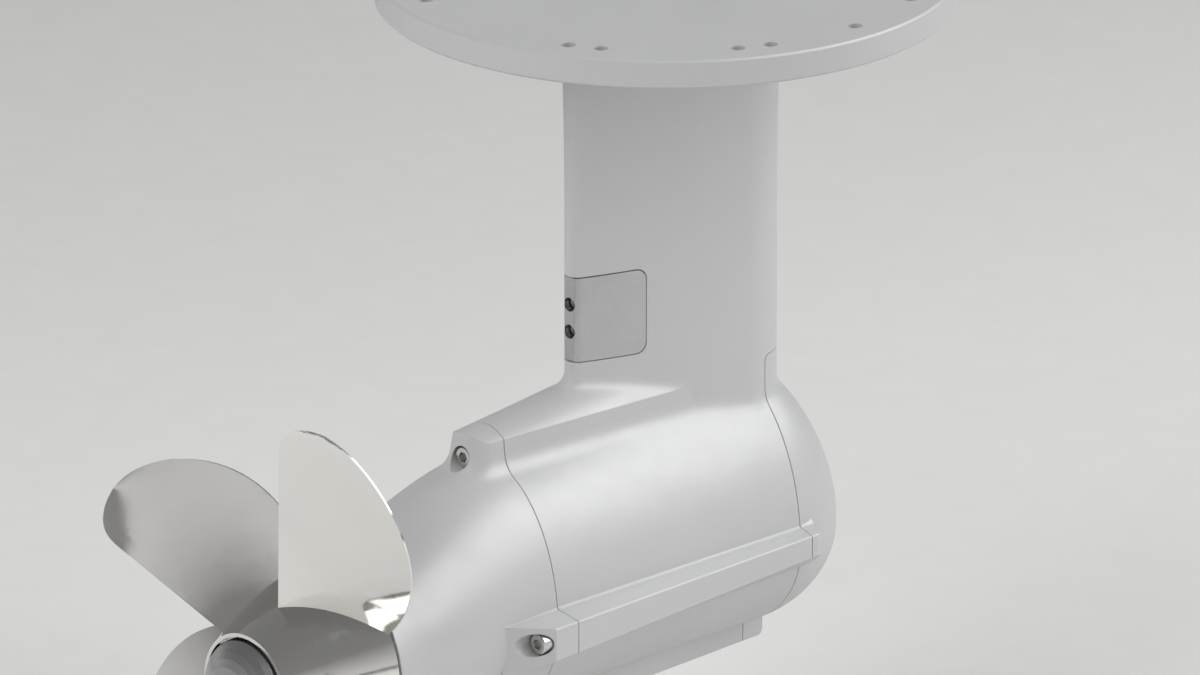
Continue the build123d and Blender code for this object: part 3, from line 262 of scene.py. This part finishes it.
def finishes():
    """One material for each material slot of the record."""
    return {
        "housing_paint": painted("housing_paint", housing_colour, 0.43),
        "flange_paint": painted("flange_paint", flange_colour, 0.50),
        "propeller_polish": polished("propeller_polish", propeller_colour, 0.09),
        "anode_metal": brushed("anode_metal", anode_colour, 0.34, grain_along_anode, 0.03),
        "stainless": brushed("stainless", stainless_colour, 0.24, grain_round_fasteners),
        "shaft_steel": brushed("shaft_steel", stainless_colour, 0.20, grain_round_shaft),
        "bearing_steel": brushed("bearing_steel", bearing_colour, 0.16, grain_round_shaft),
        "seal_rubber": moulded("seal_rubber", rubber_colour, 0.62, 2400.0),
        "plate_metal": brushed("plate_metal", plate_colour, 0.34, grain_plate),
        "connector_plastic": moulded("connector_plastic", plastic_colour, 0.44, 3200.0),
        "lead_sheath": moulded("lead_sheath", sheath_colour, 0.48, 1800.0),
        "lamination_steel": banded("lamination_steel", lamination_colour, 0.42, 0.9, sheet_pitch, "X"),
        "copper": banded("copper", copper_colour, 0.30, 0.85, wire_pitch, "X"),
        "magnet": brushed("magnet", magnet_colour, 0.30, grain_magnet),
        "circuit_board": circuit_board("circuit_board"),
    }


def dress(materials):
    """Gives every node of the frame the finish that the record names for it."""
    for row in frame["record"]["subparts"]:
        node = frame["nodes"][row["node"]]
        node.data.materials.clear()
        node.data.materials.append(materials[row["material_slot"]])


# Studio

def add_camera():
    data = bpy.data.cameras.new("camera")
    data.sensor_width = sensor_width
    data.lens = sensor_width * focal_pixels / photo_width
    data.clip_start = camera_nearest
    data.clip_end = camera_farthest
    camera = bpy.data.objects.new("camera", data)
    bpy.context.scene.collection.objects.link(camera)
    place = (camera_back * camera_distance - camera_right * camera_shift_right
             - camera_up * camera_shift_up)
    columns = (camera_right, camera_up, camera_back)
    turn = Matrix([[column[row] for column in columns] for row in range(3)])
    camera.matrix_world = Matrix.Translation(place) @ turn.to_4x4()
    bpy.context.scene.camera = camera


def add_softbox(name, place, size, power):
    """Flat lamp turned towards the middle of the part."""
    data = bpy.data.lights.new(name, "AREA")
    data.shape = "RECTANGLE"
    data.size, data.size_y = size
    data.energy = power
    lamp = bpy.data.objects.new(name, data)
    bpy.context.scene.collection.objects.link(lamp)
    lamp.location = place
    lamp.rotation_mode = "QUATERNION"
    lamp.rotation_quaternion = (Vector(lamp_aim) - Vector(place)).to_track_quat("-Z", "Y")
    return lamp


def add_lights():
    """One soft key to starboard and ahead, and one aft lamp that fills the shadows."""
    add_softbox("key", key_place, key_size, key_power)
    aft = add_softbox("aft", aft_place, aft_size, aft_power)
    # The aft lamp is kept out of reflections, so that the polished blades don't mirror it.
    aft.visible_glossy = False


def grey(level):
    """Opaque grey of one level."""
    return (level, level, level, 1.0)


def add_world():
    """Dome that is bright at the horizon and dim overhead, as round a table in a studio."""
    world = bpy.data.worlds.new("studio")
    bpy.context.scene.world = world
    world.use_nodes = True
    tree = world.node_tree
    place = tree.nodes.new("ShaderNodeTexCoord")
    parts = tree.nodes.new("ShaderNodeSeparateXYZ")
    ramp = tree.nodes.new("ShaderNodeValToRGB")
    stops = ramp.color_ramp.elements
    stops[0].color = grey(horizon_light)
    stops[1].color = grey(high_sky_light)
    low_sky = stops.new(low_sky_height)
    low_sky.color = grey(low_sky_light)
    tree.links.new(place.outputs["Generated"], parts.inputs["Vector"])
    tree.links.new(parts.outputs["Z"], ramp.inputs["Fac"])
    tree.links.new(ramp.outputs["Color"], tree.nodes["Background"].inputs["Color"])


def add_floor():
    """Pale floor under the propeller's lowest reach."""
    mesh = bpy.data.meshes.new("floor")
    corners = [(-floor_half, -floor_half, floor_z), (floor_half, -floor_half, floor_z),
               (floor_half, floor_half, floor_z), (-floor_half, floor_half, floor_z)]
    mesh.from_pydata(corners, [], [(0, 1, 2, 3)])
    floor = bpy.data.objects.new("floor", mesh)
    bpy.context.scene.collection.objects.link(floor)
    material, tree, shader = new_material("floor")
    speckle = noise(tree, object_position(tree), 30.0, 4.0)
    tree.links.new(tint(tree, speckle, floor_colour, 0.01), shader.inputs["Base Color"])
    shader.inputs["Roughness"].default_value = floor_roughness
    mesh.materials.append(material)


dress(finishes())
add_camera()
add_lights()
add_world()
add_floor()
bpy.context.scene.view_settings.view_transform = "Standard"
